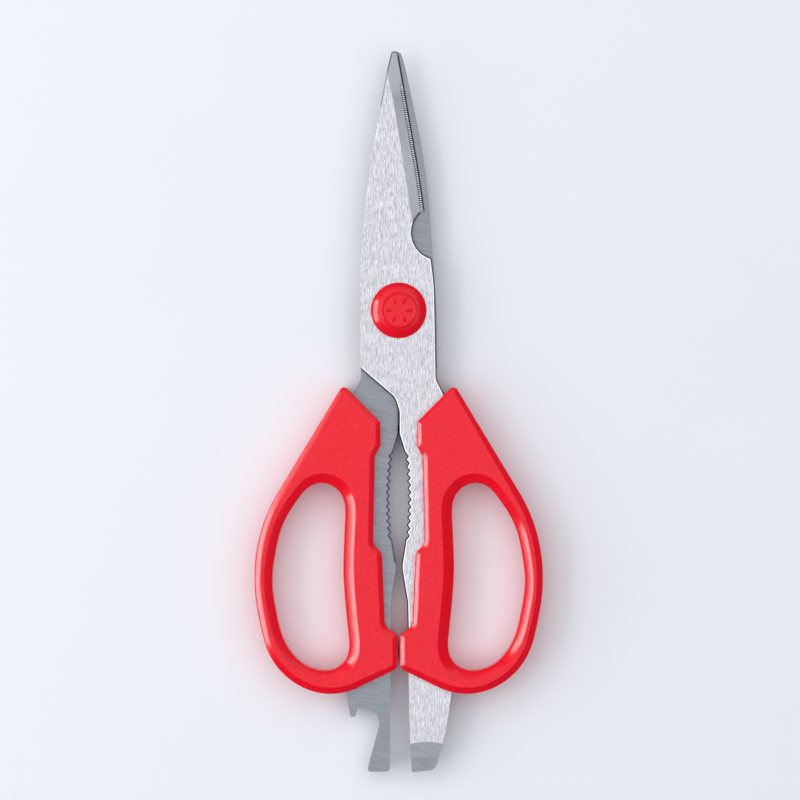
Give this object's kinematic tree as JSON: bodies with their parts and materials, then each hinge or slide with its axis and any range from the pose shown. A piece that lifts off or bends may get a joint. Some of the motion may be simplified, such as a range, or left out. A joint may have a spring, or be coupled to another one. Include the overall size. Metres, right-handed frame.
{
  "type": "poultry shears",
  "caption": "Multi-purpose kitchen and poultry shears with moulded finger loops, bone notch, toothed gripping jaw, cap lifter tail and driver tail.",
  "frame": {"origin": "on the pivot axis, in the rest plane that the undersides of the handles and the flat centre of the rear cap share", "axes": "+Z along the pivot axis towards the front blade, +Y towards the blade tips, +X towards the handle of the front half"},
  "size_m": [0.082, 0.2051, 0.011],
  "materials": {
    "ground_steel": "coarse lengthwise grinding lines",
    "rear_steel": "finer grinding lines",
    "turned_steel": "turned, satin",
    "red_plastic": "satin gloss with a fine moulded grain",
    "cap_plastic": "gloss",
    "washer_plastic": "smooth"
  },
  "bodies": {
    "rear_half": {"rear_blade": "rear_steel", "left_handle": "red_plastic", "pivot_screw": "turned_steel", "pivot_nut": "turned_steel", "friction_washer": "washer_plastic", "spring_washer": "turned_steel", "front_cap": "cap_plastic", "rear_cap": "cap_plastic"},
    "front_half": {"front_blade": "ground_steel", "right_handle": "red_plastic"}
  },
  "joints": [
    {"name": "pivot", "type": "hinge", "parent": "rear_half", "child": "front_half", "pos_m": [0, 0, 0.0055], "axis": [0, 0, 1], "range_deg": [0, 118]}
  ]
}
